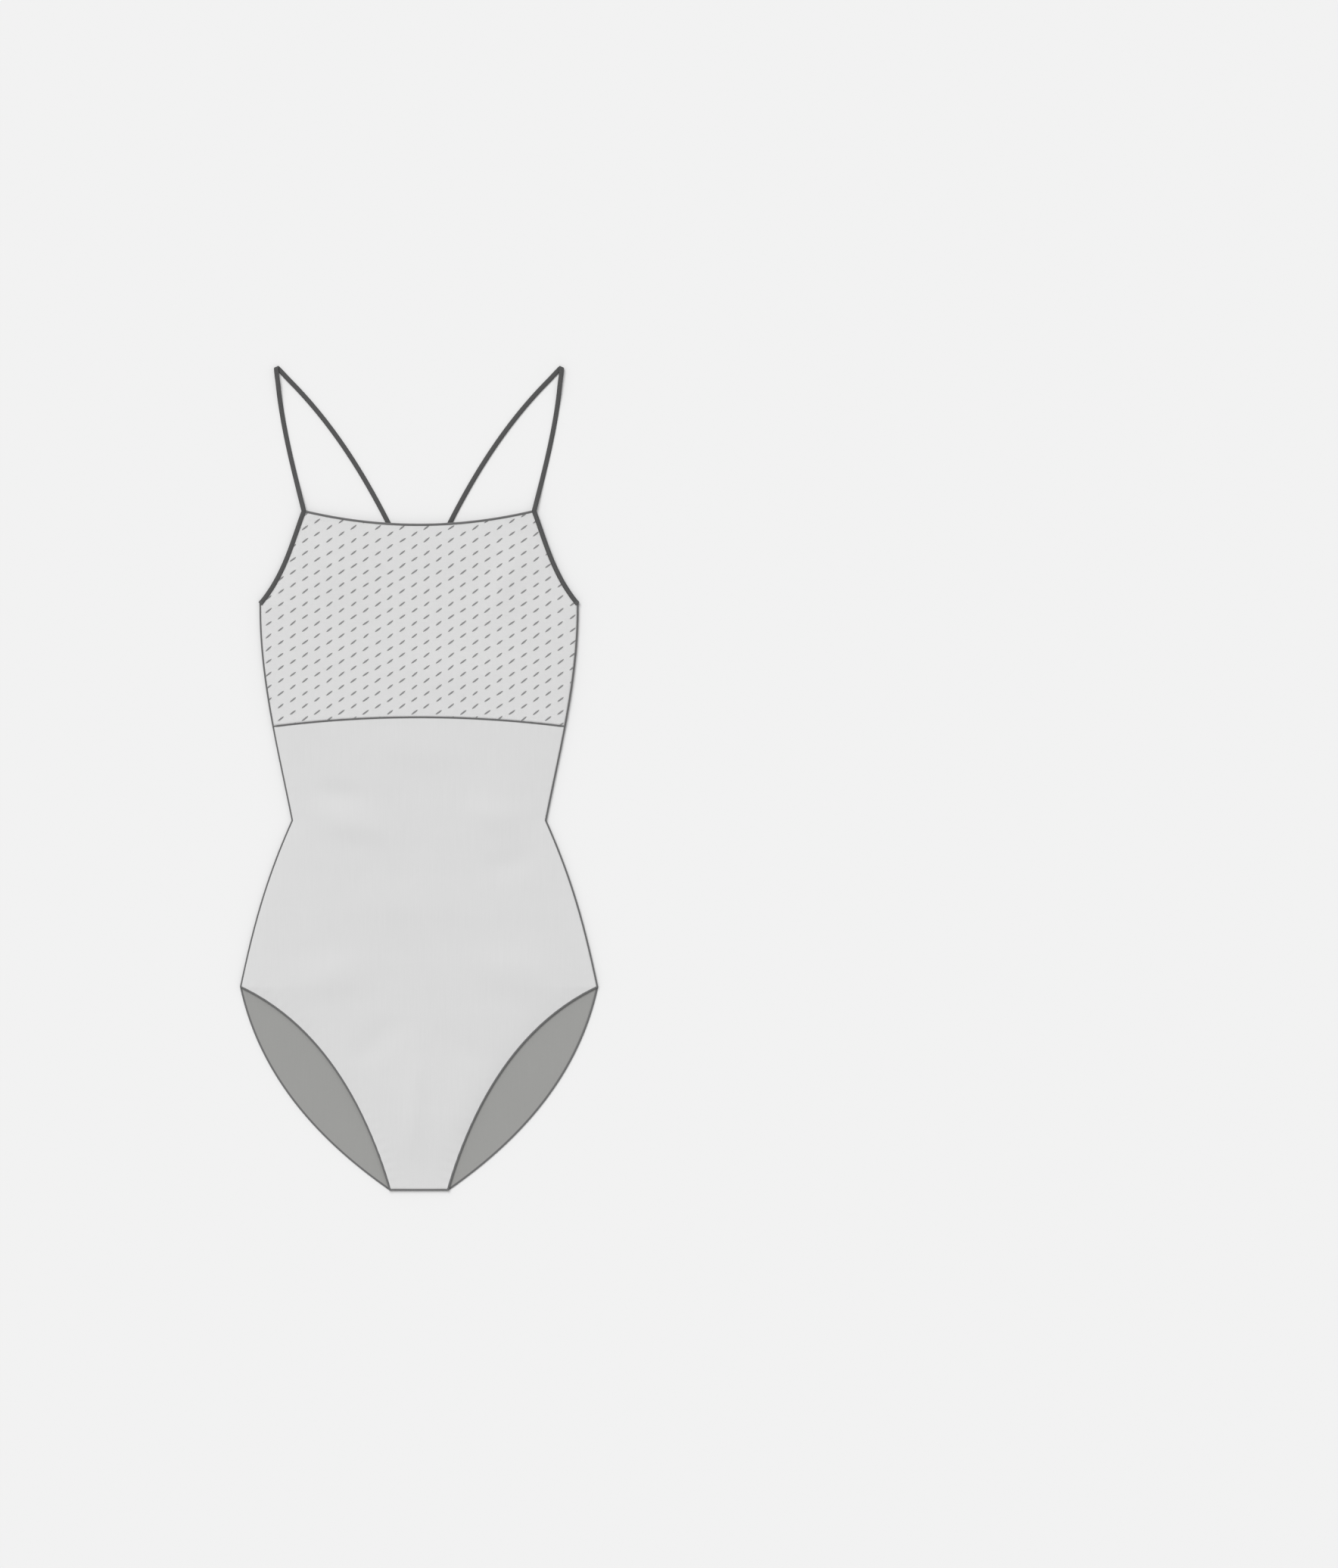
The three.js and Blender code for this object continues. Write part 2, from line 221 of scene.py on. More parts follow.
# The underside of the front cloth, as in the solids: slack (1 - u^5) over the back, none at the crotch, less
# at the neck.
def frontUnder(x, y):
    shape = slackShape
    across = np.minimum(1, np.abs(x) / frontHalf(y))
    atNeck = 1 - shape["neckLess"] * smooth((y - shape["neckFrom"]) / shape["neckRun"])
    full = (1 - across ** shape["power"]) * smooth(y / shape["rise"]) * atNeck
    return lay["backTop"] + lay["gap"] + lay["slack"] * full


# The same with its folds and puckers, which die out at the very edge and stay off the back.
def frontCloth(x, y):
    across = np.minimum(1, np.abs(x) / frontHalf(y))
    under = frontUnder(x, y)
    lift = (foldLift(x, y) + puckerLift(x, y)) * (1 - across ** slackShape["edgePower"])
    return under + np.maximum(lift, lay["backTop"] + lay["clear"] - under)


# Places in the frame, in metres.
def toFrame(x, y, z):
    return np.stack([x, y - halfLength, np.broadcast_to(z, np.shape(x))], axis=-1) * mm


# A mesh piece that rides on the body, with its finish, its slot and the CAD nodes that it stands for.
def newPiece(name, vertices, faces, finish, nodes=(), uvs=None):
    mesh = bpy.data.meshes.new(name)
    mesh.from_pydata(vertices.reshape(-1, 3).tolist(), [], faces)
    mesh.polygons.foreach_set("use_smooth", np.full(len(mesh.polygons), True))
    if uvs is not None:
        corner = np.empty(len(mesh.loops), np.int32)
        mesh.loops.foreach_get("vertex_index", corner)
        mesh.uv_layers.new(name="run").data.foreach_set("uv", uvs.reshape(-1, 2)[corner].ravel())
    mesh.materials.append(finishes[finish])
    mesh.update()
    piece = bpy.data.objects.new(name, mesh)
    bpy.context.scene.collection.objects.link(piece)
    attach(piece, "root")
    if nodes:
        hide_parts(*nodes)
    print("made", name, len(mesh.polygons), "faces")
    return piece


# A closed sheet between a lower and an upper grid of points.
def sheetFaces(rows, columns):
    at = np.arange(rows * columns).reshape(rows, columns)
    cells = np.stack([at[:-1, :-1], at[:-1, 1:], at[1:, 1:], at[1:, :-1]], axis=-1).reshape(-1, 4)
    rim = np.concatenate([at[0, :-1], at[:-1, -1], at[-1, :0:-1], at[:0:-1, 0]])
    onward = np.roll(rim, -1)
    wall = np.stack([rim, onward, onward + rows * columns, rim + rows * columns], axis=1)
    return np.concatenate([cells[:, [0, 3, 2, 1]], cells + rows * columns, wall]).tolist()


# Bands swept along paths, all at once: centres and outs are (bands, rings, 3), and sections (bands, rings,
# points, 2), with a part across and a part outwards. across = along x out.
def sweep(centres, outs, sections, skew=None):
    along = np.gradient(centres, axis=1)
    along /= np.linalg.norm(along, axis=-1, keepdims=True)
    across = np.cross(along, outs)
    across /= np.linalg.norm(across, axis=-1, keepdims=True)
    out = np.cross(across, along)
    a, o = sections[..., 0:1], sections[..., 1:2]
    points = centres[:, :, None] + a * across[:, :, None] + o * out[:, :, None]
    if skew is not None:
        points += a * skew[None, :, None, None] * along[:, :, None]
    bands, rings = points.shape[:2]
    at = np.arange(points[..., 0].size).reshape(points.shape[:3])
    ahead = np.roll(at, -1, axis=2)
    walls = np.stack([at[:, :-1], at[:, 1:], ahead[:, 1:], ahead[:, :-1]], axis=-1).reshape(-1, 4)
    caps = np.concatenate([at[:, 0], at[:, -1, ::-1]])
    steps = np.linalg.norm(np.diff(centres, axis=1), axis=-1)
    run = np.concatenate([np.zeros((bands, 1)), np.cumsum(steps, axis=1)], axis=1)
    uvs = np.stack(np.broadcast_arrays(run[:, :, None], a[..., 0]), axis=-1)
    return points, walls.tolist() + caps.tolist(), uvs


# Swept bands as one piece, mirrored for the left.
def newSwept(name, centres, outs, sections, finish, nodes=(), flip=False, skew=None):
    points, faces, uvs = sweep(centres, outs, sections, skew)
    if flip:
        points = points * (-1, 1, 1)
        faces = [face[::-1] for face in faces]
    return newPiece(name, points, faces, finish, nodes, uvs / mm)


# A rounded section: a super-ellipse, |a|^p + |o|^p = 1, with an optional shallow groove along its middle.
def roundSection(width, thick, points=16, power=3.0, groove=0.0, grooveReach=0.22):
    turn = np.linspace(0, 2 * np.pi, points, endpoint=False)
    shape = lambda v: np.sign(v) * np.abs(v) ** (2 / power)
    a, o = shape(np.cos(turn)), shape(np.sin(turn))
    o = o * (1 - groove * np.exp(-((a / grooveReach) ** 2)))
    return np.stack([a * width / 2, o * thick / 2], axis=1)


# A strip folded round an edge: open at low a, with a wall above and a wall below, and eased lips.
lipShape = {"slope": 0.12, "drop": 0.03, "round": 0.5, "swell": 1.04, "under": 0.3, "bendPoints": 9}


def foldedSection(width, thick, wall):
    turn = np.linspace(np.pi / 2, -np.pi / 2, lipShape["bendPoints"])
    outer = np.stack([width / 2 - thick / 2 * (1 - np.cos(turn)), thick / 2 * np.sin(turn)], axis=1)
    inner = outer[::-1].copy()
    inner[:, 0] = width / 2 - thick / 2 + (inner[:, 0] - width / 2 + thick / 2) * (1 - 2 * wall / thick)
    inner[:, 1] *= 1 - 2 * wall / thick
    lip = -width / 2
    edge = thick / 2
    top = [
        (lip, edge - wall),
        (lip + lipShape["slope"], edge - lipShape["drop"]),
        (lip + lipShape["round"], edge),
        (0, edge * lipShape["swell"]),
    ]
    foot = [(0, -edge), (lip + lipShape["under"], -edge), (lip, -edge + wall)]
    return np.concatenate([top, outer, foot, inner])[::-1]


# How much a ring leans so that a band ends in the plane that halves its corner with the next one: it fades
# out over a reach. lean = -(across . middle) / (along . middle).
def cornerLean(points, other, atEnd, reach):
    run = runOf(points)
    along = points[-1] - points[-2] if atEnd else points[1] - points[0]
    along = unit(along[:2])
    other = unit(np.array(other, float))
    middle = along + other
    across = np.array([along[1], -along[0]])
    away = run[-1] - run if atEnd else run
    return -(across @ middle) / (along @ middle) * smooth(1 - away / reach)


# The same where a band's end is cut off upright, along the side: lean = -across x / along x.
def uprightLean(points, reach):
    run = runOf(points)
    along = points[-1] - points[-2]
    return -along[1] / along[0] * smooth(1 - (run[-1] - run) / reach)


# Materials. First, the linear colour of a display grey from 0 to 255, or of a grey with its blue a little
# away from it: up to 0.04045 v / 12.92, else ((v + 0.055) / 1.055)^2.4.
def tone(value, bluer=0.0):
    v = np.array([value, value, value + bluer]) / 255
    linear = np.where(v <= 0.04045, v / 12.92, ((v + 0.055) / 1.055) ** 2.4)
    return (*linear.tolist(), 1.0)


def setValues(node, values):
    for socket, value in values.items():
        node.inputs[socket].default_value = value


# A node with its links, the values of its sockets and its own settings.
def addNode(tree, kind, links=None, values=None, **settings):
    node = tree.nodes.new(kind)
    for name, value in settings.items():
        setattr(node, name, value)
    setValues(node, values or {})
    for socket, source in (links or {}).items():
        tree.links.new(source, node.inputs[socket])
    return node


# A math node's output, from one to three numbers or sockets.
def mathNode(tree, operation, a, b=None, c=None):
    node = tree.nodes.new("ShaderNodeMath")
    node.operation = operation
    for index, value in enumerate((a, b, c)):
        if value is None:
            continue
        if isinstance(value, (int, float)):
            node.inputs[index].default_value = value
        else:
            tree.links.new(value, node.inputs[index])
    return node.outputs[0]


def noiseNode(tree, place, scale, detail):
    node = addNode(tree, "ShaderNodeTexNoise", {"Vector": place}, {"Scale": scale, "Detail": detail})
    return node.outputs["Fac"]


def axesOf(tree, place):
    return addNode(tree, "ShaderNodeSeparateXYZ", {"Vector": place}).outputs


def objectPlace(tree):
    return addNode(tree, "ShaderNodeTexCoord").outputs["Object"]


def ownRun(tree):
    return addNode(tree, "ShaderNodeUVMap", uv_map="run").outputs["UV"]


# How far a value is from the middle of its own whole step, from -0.5 to 0.5.
def fromMiddle(tree, value):
    return mathNode(tree, "SUBTRACT", mathNode(tree, "FRACT", value), 0.5)


# The sine of a number of turns.
def waveNode(tree, turns):
    return mathNode(tree, "SINE", mathNode(tree, "MULTIPLY", turns, 2 * math.pi))


# A node group of plain numbers, with the sockets of its input and output.
def newGroup(name, inputs, outputs):
    tree = bpy.data.node_groups.new(name, "ShaderNodeTree")
    for socket, value in inputs.items():
        made = tree.interface.new_socket(socket, in_out="INPUT", socket_type="NodeSocketFloat")
        made.default_value = value
    for socket in outputs:
        tree.interface.new_socket(socket, in_out="OUTPUT", socket_type="NodeSocketFloat")
    return tree, tree.nodes.new("NodeGroupInput").outputs, tree.nodes.new("NodeGroupOutput").inputs


# Knit stitches on the object's x and y: slanted legs that mirror about each wale, with grooves between wales.
knitRelief = {"leg": 0.3, "middle": 0.5, "ridge": 0.4}


def knitGroup():
    tree, given, put = newGroup("knitStitches", {"Wale": 0.0008, "Course": 0.0007}, ["Height"])
    axes = axesOf(tree, objectPlace(tree))
    wale = mathNode(tree, "DIVIDE", axes["X"], given["Wale"])
    course = mathNode(tree, "DIVIDE", axes["Y"], given["Course"])
    fromWale = mathNode(tree, "ABSOLUTE", fromMiddle(tree, wale))
    wave = waveNode(tree, mathNode(tree, "ADD", course, fromWale))
    leg = mathNode(tree, "MULTIPLY_ADD", wave, knitRelief["leg"], knitRelief["middle"])
    height = mathNode(tree, "MULTIPLY_ADD", waveNode(tree, fromWale), knitRelief["ridge"], leg)
    tree.links.new(height, put["Height"])
    return tree


# Uneven yarn: long streaks along the wales and a soft cloudiness. Its level is about 1.
yarnShape = {"drawn": (900, 28, 0), "streakDetail": 3.0, "cloudScale": 26.0, "cloudDetail": 4.0}


def yarnGroup():
    tree, given, put = newGroup("unevenYarn", {"Streak": 0.02, "Cloud": 0.02}, ["Level"])
    place = objectPlace(tree)
    stretch = {1: yarnShape["drawn"]}
    drawn = addNode(tree, "ShaderNodeVectorMath", {0: place}, stretch, operation="MULTIPLY").outputs[0]
    streak = noiseNode(tree, drawn, 1.0, yarnShape["streakDetail"])
    cloud = noiseNode(tree, place, yarnShape["cloudScale"], yarnShape["cloudDetail"])
    centred = lambda source: mathNode(tree, "SUBTRACT", source, 0.5)
    streaks = mathNode(tree, "MULTIPLY", centred(streak), given["Streak"])
    clouds = mathNode(tree, "MULTIPLY", centred(cloud), given["Cloud"])
    tree.links.new(mathNode(tree, "ADD", mathNode(tree, "ADD", streaks, clouds), 1.0), put["Level"])
    return tree


# Net: round holes on a staggered grid, by the distance to the nearer of two lattices. 1 on the thread.
netShape = {"pitch": 0.001, "hole": 0.3, "sharpness": 14.0}


def netGroup():
    defaults = {"Pitch": netShape["pitch"], "Hole": netShape["hole"]}
    tree, given, put = newGroup("netThreads", defaults, ["Thread", "Height"])
    axes = axesOf(tree, objectPlace(tree))
    column = mathNode(tree, "DIVIDE", axes["X"], given["Pitch"])
    row = mathNode(tree, "DIVIDE", axes["Y"], mathNode(tree, "MULTIPLY", given["Pitch"], math.sqrt(3)))

    def away(shift):
        wide = fromMiddle(tree, mathNode(tree, "ADD", column, shift))
        tall = fromMiddle(tree, mathNode(tree, "ADD", row, shift))
        legs = (wide, mathNode(tree, "MULTIPLY", tall, math.sqrt(3)))
        squares = [mathNode(tree, "MULTIPLY", leg, leg) for leg in legs]
        return mathNode(tree, "SQRT", mathNode(tree, "ADD", *squares))

    nearest = mathNode(tree, "MINIMUM", away(0.0), away(0.5))
    past = mathNode(tree, "SUBTRACT", nearest, given["Hole"])
    rise = mathNode(tree, "MULTIPLY", past, netShape["sharpness"])
    clear = addNode(tree, "ShaderNodeClamp", {"Value": rise}).outputs[0]
    tree.links.new(clear, put["Thread"])
    tree.links.new(mathNode(tree, "MULTIPLY", clear, nearest), put["Height"])
    return tree


# Ribs across a strip, from its own run, with a fibre grain.
ribShape = {"scale": 2.2, "detail": 5.0, "relief": 0.6, "shade": 0.5, "darkest": 0.75}


def ribGroup():
    tree, given, put = newGroup("stripRibs", {"Pitch": 0.9}, ["Height", "Level"])
    run = ownRun(tree)
    ahead = mathNode(tree, "DIVIDE", axesOf(tree, run)["X"], given["Pitch"])
    rib = mathNode(tree, "MULTIPLY_ADD", waveNode(tree, ahead), 0.5, 0.5)
    grain = noiseNode(tree, run, ribShape["scale"], ribShape["detail"])
    level = mathNode(tree, "MULTIPLY_ADD", grain, ribShape["shade"], ribShape["darkest"])
    tree.links.new(mathNode(tree, "MULTIPLY_ADD", grain, ribShape["relief"], rib), put["Height"])
    tree.links.new(level, put["Level"])
    return tree


# Twisted thread: slanted ridges on a band's own run and width.
def twistGroup():
    tree, given, put = newGroup("twistedThread", {"Pitch": 0.9, "Slant": 0.7}, ["Height"])
    axes = axesOf(tree, ownRun(tree))
    ahead = mathNode(tree, "DIVIDE", axes["X"], given["Pitch"])
    aside = mathNode(tree, "DIVIDE", axes["Y"], given["Slant"])
    twist = waveNode(tree, mathNode(tree, "ADD", ahead, aside))
    tree.links.new(mathNode(tree, "MULTIPLY_ADD", twist, 0.5, 0.5), put["Height"])
    return tree


groups = {
    "knit": knitGroup(),
    "yarn": yarnGroup(),
    "net": netGroup(),
    "rib": ribGroup(),
    "twist": twistGroup(),
}


def useGroup(tree, name, **values):
    node = tree.nodes.new("ShaderNodeGroup")
    node.node_tree = groups[name]
    setValues(node, values)
    return node.outputs


# What each kind of material is like. Its bump is in metres. Its groove and the share after it paint shade
# into the grooves of its knit or twist: at a groove's bottom the colour falls to that share of itself.
feel = {
    "jersey": {"roughness": 0.78, "sheen": 0.15, "bump": 0.00008, "groove": 0.06, "shadeInGroove": 0.965},
    "net": {"roughness": 0.7, "sheen": 0.15, "bump": 0.0001},
    "strip": {"roughness": 0.55, "sheen": 0.1},
    "thread": {"roughness": 0.5, "sheen": 0.1, "bump": 0.00006, "groove": 0.16, "shadeInGroove": 0.92},
    "floor": {"roughness": 0.9, "sheen": 0.0},
}
shine = {"specular": 0.25, "sheenRoughness": 0.5}


# A material of one colour. colourBy scales the colour by a level, and bumpBy adds a bump from a height.
def newMaterial(name, shade, kind):
    material = bpy.data.materials.new(name)
    material.use_nodes = True
    tree = material.node_tree
    shader = tree.nodes["Principled BSDF"]
    setValues(shader, {"Base Color": tone(*shade), "Roughness": feel[kind]["roughness"]})
    setValues(shader, {"Sheen Weight": feel[kind]["sheen"], "Sheen Roughness": shine["sheenRoughness"]})
    setValues(shader, {"Specular IOR Level": shine["specular"]})
    return material, tree, shader


def colourBy(tree, shader, shade, level):
    colour = {0: tone(*shade)[:3]}
    tint = addNode(tree, "ShaderNodeVectorMath", {"Scale": level}, colour, operation="SCALE").outputs[0]
    tree.links.new(tint, shader.inputs["Base Color"])


def bumpBy(tree, shader, height, distance):
    bump = addNode(tree, "ShaderNodeBump", {"Height": height}, {"Distance": distance, "Strength": 1.0})
    tree.links.new(bump.outputs["Normal"], shader.inputs["Normal"])


# The level of a yarn: its uneven tone, times painted shade in its grooves, which a height gives, so that the
# grooves are darker.
def yarnTintAndGrooveShade(tree, kind, height, **unevenness):
    yarn = useGroup(tree, "yarn", **unevenness)
    # Painted shade: darker where the stitch or twist height is low.
    grooveShade = mathNode(tree, "MULTIPLY_ADD", height, feel[kind]["groove"], feel[kind]["shadeInGroove"])
    return mathNode(tree, "MULTIPLY", yarn["Level"], grooveShade)


def jerseyMaterial(name, shade, wale, course):
    material, tree, shader = newMaterial(name, shade, "jersey")
    knit = useGroup(tree, "knit", Wale=wale, Course=course)
    colourBy(tree, shader, shade, yarnTintAndGrooveShade(tree, "jersey", knit["Height"], Streak=0.05, Cloud=0.03))
    bumpBy(tree, shader, knit["Height"], feel["jersey"]["bump"])
    return material


# The net's holes are clear: its thread mask is the alpha.
def netMaterial(name, shade):
    material, tree, shader = newMaterial(name, shade, "net")
    net = useGroup(tree, "net")
    bumpBy(tree, shader, net["Height"], feel["net"]["bump"])
    tree.links.new(net["Thread"], shader.inputs["Alpha"])
    return material


def stripMaterial(name, shade, pitch, bump):
    material, tree, shader = newMaterial(name, shade, "strip")
    rib = useGroup(tree, "rib", Pitch=pitch)
    colourBy(tree, shader, shade, rib["Level"])
    bumpBy(tree, shader, rib["Height"], bump)
    return material


def threadMaterial(name, shade):
    material, tree, shader = newMaterial(name, shade, "thread")
    twist = useGroup(tree, "twist")
    colourBy(tree, shader, shade, yarnTintAndGrooveShade(tree, "thread", twist["Height"], Streak=0.12, Cloud=0.08))
    bumpBy(tree, shader, twist["Height"], feel["thread"]["bump"])
    return material


finishes = {
    "jersey": jerseyMaterial("jersey", (213.5,), wale=0.0008, course=0.0007),
    # The inside finish is the jersey made darker all over: painted shade for the body's inner faces, which
    # lie in the garment's shade.
    "inside": jerseyMaterial("jerseyInsidePaintedShade", (152.5, -2), wale=0.0011, course=0.0005),
    "lining": jerseyMaterial("lining", (228.5,), wale=0.0006, course=0.0005),
    "net": netMaterial("net", (229.5,)),
    "elastic": stripMaterial("elastic", (75,), pitch=0.9, bump=0.00006),
    "edging": stripMaterial("edging", (104,), pitch=1.2, bump=0.00005),
    "dash": threadMaterial("dashThread", (138,)),
    "stitch": threadMaterial("stitchThread", (88,)),
    "seam": threadMaterial("seamThread", (102,)),
}
print("materials ready")

# Floor, light and camera. The camera looks straight down and its view holds the whole drawing's frame.
photo = {"width": 1768, "height": 2072, "mmPerPixel": 0.68, "centreFront": 553.7, "crotch": 1571.9}
view = {"lens": 100, "sensor": 36, "farthest": 200}
light = {"world": 0.6, "sky": 242, "sun": 1.80, "softness": 36, "tilt": 37, "turn": 205}
ground = {"grey": 236, "size": 60}


def buildFloor():
    bpy.ops.mesh.primitive_plane_add(size=ground["size"], location=(0, 0, 0))
    floor = bpy.context.object
    floor.name = "floor"
    material, tree, shader = newMaterial("paleFloor", (ground["grey"],), "floor")
    setValues(shader, {"Specular IOR Level": 0.0})
    floor.data.materials.append(material)


def buildLight():
    world = bpy.data.worlds.new("studio")
    bpy.context.scene.world = world
    world.use_nodes = True
    tree = world.node_tree
    soft = tree.nodes["Background"]
    setValues(soft, {"Color": (1, 1, 1, 1), "Strength": light["world"]})
    seen = addNode(tree, "ShaderNodeBackground", values={"Color": tone(light["sky"]), "Strength": 1.0})
    ray = addNode(tree, "ShaderNodeLightPath").outputs["Is Camera Ray"]
    both = addNode(tree, "ShaderNodeMixShader", {0: ray, 1: soft.outputs[0], 2: seen.outputs[0]}).outputs[0]
    tree.links.new(both, tree.nodes["World Output"].inputs["Surface"])
    sun = bpy.data.objects.new("sun", bpy.data.lights.new("sun", "SUN"))
    sun.data.energy = light["sun"]
    sun.data.angle = math.radians(light["softness"])
    sun.rotation_euler = (math.radians(light["tilt"]), 0, math.radians(light["turn"]))
    bpy.context.scene.collection.objects.link(sun)


def buildCamera():
    data = bpy.data.cameras.new("camera")
    data.lens = view["lens"]
    data.sensor_width = view["sensor"]
    camera = bpy.data.objects.new("camera", data)
    scale = photo["mmPerPixel"] * mm
    x = (photo["width"] / 2 - photo["centreFront"]) * scale
    y = (photo["crotch"] - photo["height"] / 2) * scale - halfLength * mm
    distance = view["lens"] / view["sensor"] * photo["height"] * scale
    camera.location = (x, y, distance + lay["backTop"] * mm)
    data.clip_end = view["farthest"]
    bpy.context.scene.collection.objects.link(camera)
    bpy.context.scene.camera = camera


buildFloor()
buildLight()
buildCamera()
scene = bpy.context.scene
scene.view_settings.view_transform = "Standard"
scene.view_settings.look = "None"

# Panels. Each is a thin sheet from edge to edge, whose rims lie inside the bindings and seams.
panel = {
    "cell": 2.2,
    "jersey": 0.8,
    "lining": 1.0,
    "net": 0.18,
    "backLift": 0.45,
    "frontLift": 0.3,
    "liningLift": 0.1,
    "netLift": 1.16,
}


# A grid of plan points: a row for each outline point, with the foot's shape fading into the top's shape.
def panelGrid(outline, footShape, topShape):
    columns = round(2 * outline[:, 0].max() / panel["cell"])
    u = np.linspace(-1, 1, columns + 1)
    half, level = outline[:, :1], outline[:, 1:]
    share = (level - level[0]) / (level[-1] - level[0])
    return half * u, level + share * topShape(u) + (1 - share) * footShape(u)


# A panel of one thickness, on a height or on a function of its places, with a second finish on its lower side
# where one is given.
def newPanel(name, grid, under, wall, finish, node, lowerFinish=None):
    x, y = grid
    z = under(x, y) if callable(under) else np.full(x.shape, float(under))
    rows, columns = x.shape
    points = np.stack([toFrame(x, y, z), toFrame(x, y, z + wall)])
    piece = newPiece(name, points, sheetFaces(rows, columns), finish, [node])
    if lowerFinish:
        piece.data.materials.append(finishes[lowerFinish])
        isLower = np.arange(len(piece.data.polygons)) < (rows - 1) * (columns - 1)
        piece.data.polygons.foreach_set("material_index", isLower.astype(np.int32))
    return piece


# The shapes of a panel's foot and top, above its level at the sides.
def flatEdge(u):
    return 0 * u


def archedEdge(rise):
    return lambda u: rise * (1 - u * u)


def backTopEdge(u):
    cornerX, cornerY = edges["backTop"][3]
    return np.interp(np.abs(u) * cornerX, backTopLine[:, 0], backTopLine[:, 1]) - cornerY


# The underside of a panel that lies a little above the front cloth's own.
def overFront(lift):
    return lambda x, y: frontCloth(x, y) + lift


cell = panel["cell"]
crossing = {"lift": 1.7, "flat": 12, "ramp": 14, "spread": 42, "seam": 22, "overlap": 0.2}
side = edgePoints("side")
lowSide = side[side[:, 1] < yokeSeam["height"]]
highSide = side[side[:, 1] >= yokeSeam["height"]]
backTopLine = edgePoints("backTop")

bodyRows = {}
for leg in ("frontLeg", "backLeg"):
    bodyRows[leg] = joined(edgePoints(leg, cell), edgePoints("hipSide", cell), evenly(lowSide, cell))
# The front body's lower face, inside the garment, takes the darker inside finish as painted shade.
frontBodyCloth = newPanel(
    "frontBodyCloth",
    panelGrid(bodyRows["frontLeg"], flatEdge, archedEdge(yokeSeam["frontRise"])),
    overFront(panel["frontLift"]),
    panel["jersey"],
    "jersey",
    "front_body",
    "inside",
)
# The back body's upper face and rim, seen through the leg openings, take the darker inside finish as painted
# shade; its outer lower face is plain jersey.
backBodyCloth = newPanel(
    "backBodyCloth",
    panelGrid(bodyRows["backLeg"], flatEdge, archedEdge(-yokeSeam["backDip"])),
    panel["backLift"],
    panel["jersey"],
    "inside",
    "back_body",
    "jersey",
)
frontYokeGrid = panelGrid(
    joined(evenly(highSide, cell), edgePoints("armhole", cell)),
    archedEdge(yokeSeam["frontRise"]),
    archedEdge(-neck["dip"]),
)
frontLining = newPanel(
    "frontLining",
    frontYokeGrid,
    overFront(panel["liningLift"]),
    panel["lining"],
    "lining",
    "front_lining",
)
frontYokeNet = newPanel(
    "frontYokeNet",
    frontYokeGrid,
    overFront(panel["netLift"]),
    panel["net"],
    "net",
    "front_yoke",
)


# 1 near the crossing of the straps and 0 past its ramp: 1 - smooth((away - flat) / ramp).
def nearCrossing(away):
    return 1 - smooth((away - crossing["flat"]) / crossing["ramp"])


# The back net rises to the strap that crosses on the inside: lift, times the nearness, times a share that
# grows from the outer strap's side to the inner one's.
def backNetUnder(x, y):
    below = edges["backTop"][0][1] - y
    away = np.hypot(x, below)
    share = np.clip(0.5 - np.degrees(np.arctan2(x, below)) / 2 / crossing["spread"], 0, 1)
    return panel["backLift"] + crossing["lift"] * share * nearCrossing(away)


backYokeNet = newPanel(
    "backYokeNet",
    panelGrid(evenly(highSide, cell), archedEdge(-yokeSeam["backDip"]), backTopEdge),
    backNetUnder,
    panel["net"],
    "net",
    "back_yoke",
)

# Thread dashes on the net, on a staggered lattice, cut off where they meet an edge. Their margins are
# measured from the lines of the seams and edges.
dash = {
    "columnPitch": 10.919,
    "rowPitch": 11.449,
    "columns": 14,
    "rows": 12,
    "length": 6.8,
    "width": 1.36,
    "height": 0.42,
    "raised": 0.3,
    "blunt": 0.02,
    "angle": 37.5,
    "uneven": {"angle": 1.6, "length": 0.04, "place": 0.13},
    "frontAnchor": (6.99, 514.58),
    "backAnchor": (2.34, 463.43),
    "fine": 81,
    "least": 0.25,
    "rings": 9,
    "sides": 6,
    "seed": 5,
}
dashMargin = {"low": 0.4, "side": 0.4, "armhole": 1.2, "neck": 0.45, "backTop": 1.3}


# Which of many plan points lie inside the front or the back yoke, short of its edges.
def insideFrontYoke(x, y):
    foot = arcHeight(x / yokeSeam["half"], yokeSeam["height"], yokeSeam["frontRise"])
    top = arcHeight(x / neck["half"], neck["height"], -neck["dip"])
    margin = np.where(y > edges["armhole"][0][1], dashMargin["armhole"], dashMargin["side"])
    between = (y > foot + dashMargin["low"]) & (y < top - dashMargin["neck"])
    return between & (np.abs(x) < frontHalf(y) - margin)


def insideBackYoke(x, y):
    foot = arcHeight(x / yokeSeam["half"], yokeSeam["height"], -yokeSeam["backDip"])
    top = np.interp(np.abs(x), backTopLine[:, 0], backTopLine[:, 1])
    half = np.interp(y, side[:, 1], side[:, 0])
    between = (y > foot + dashMargin["low"]) & (y < top - dashMargin["backTop"])
    return between & (np.abs(x) < half - dashMargin["side"])


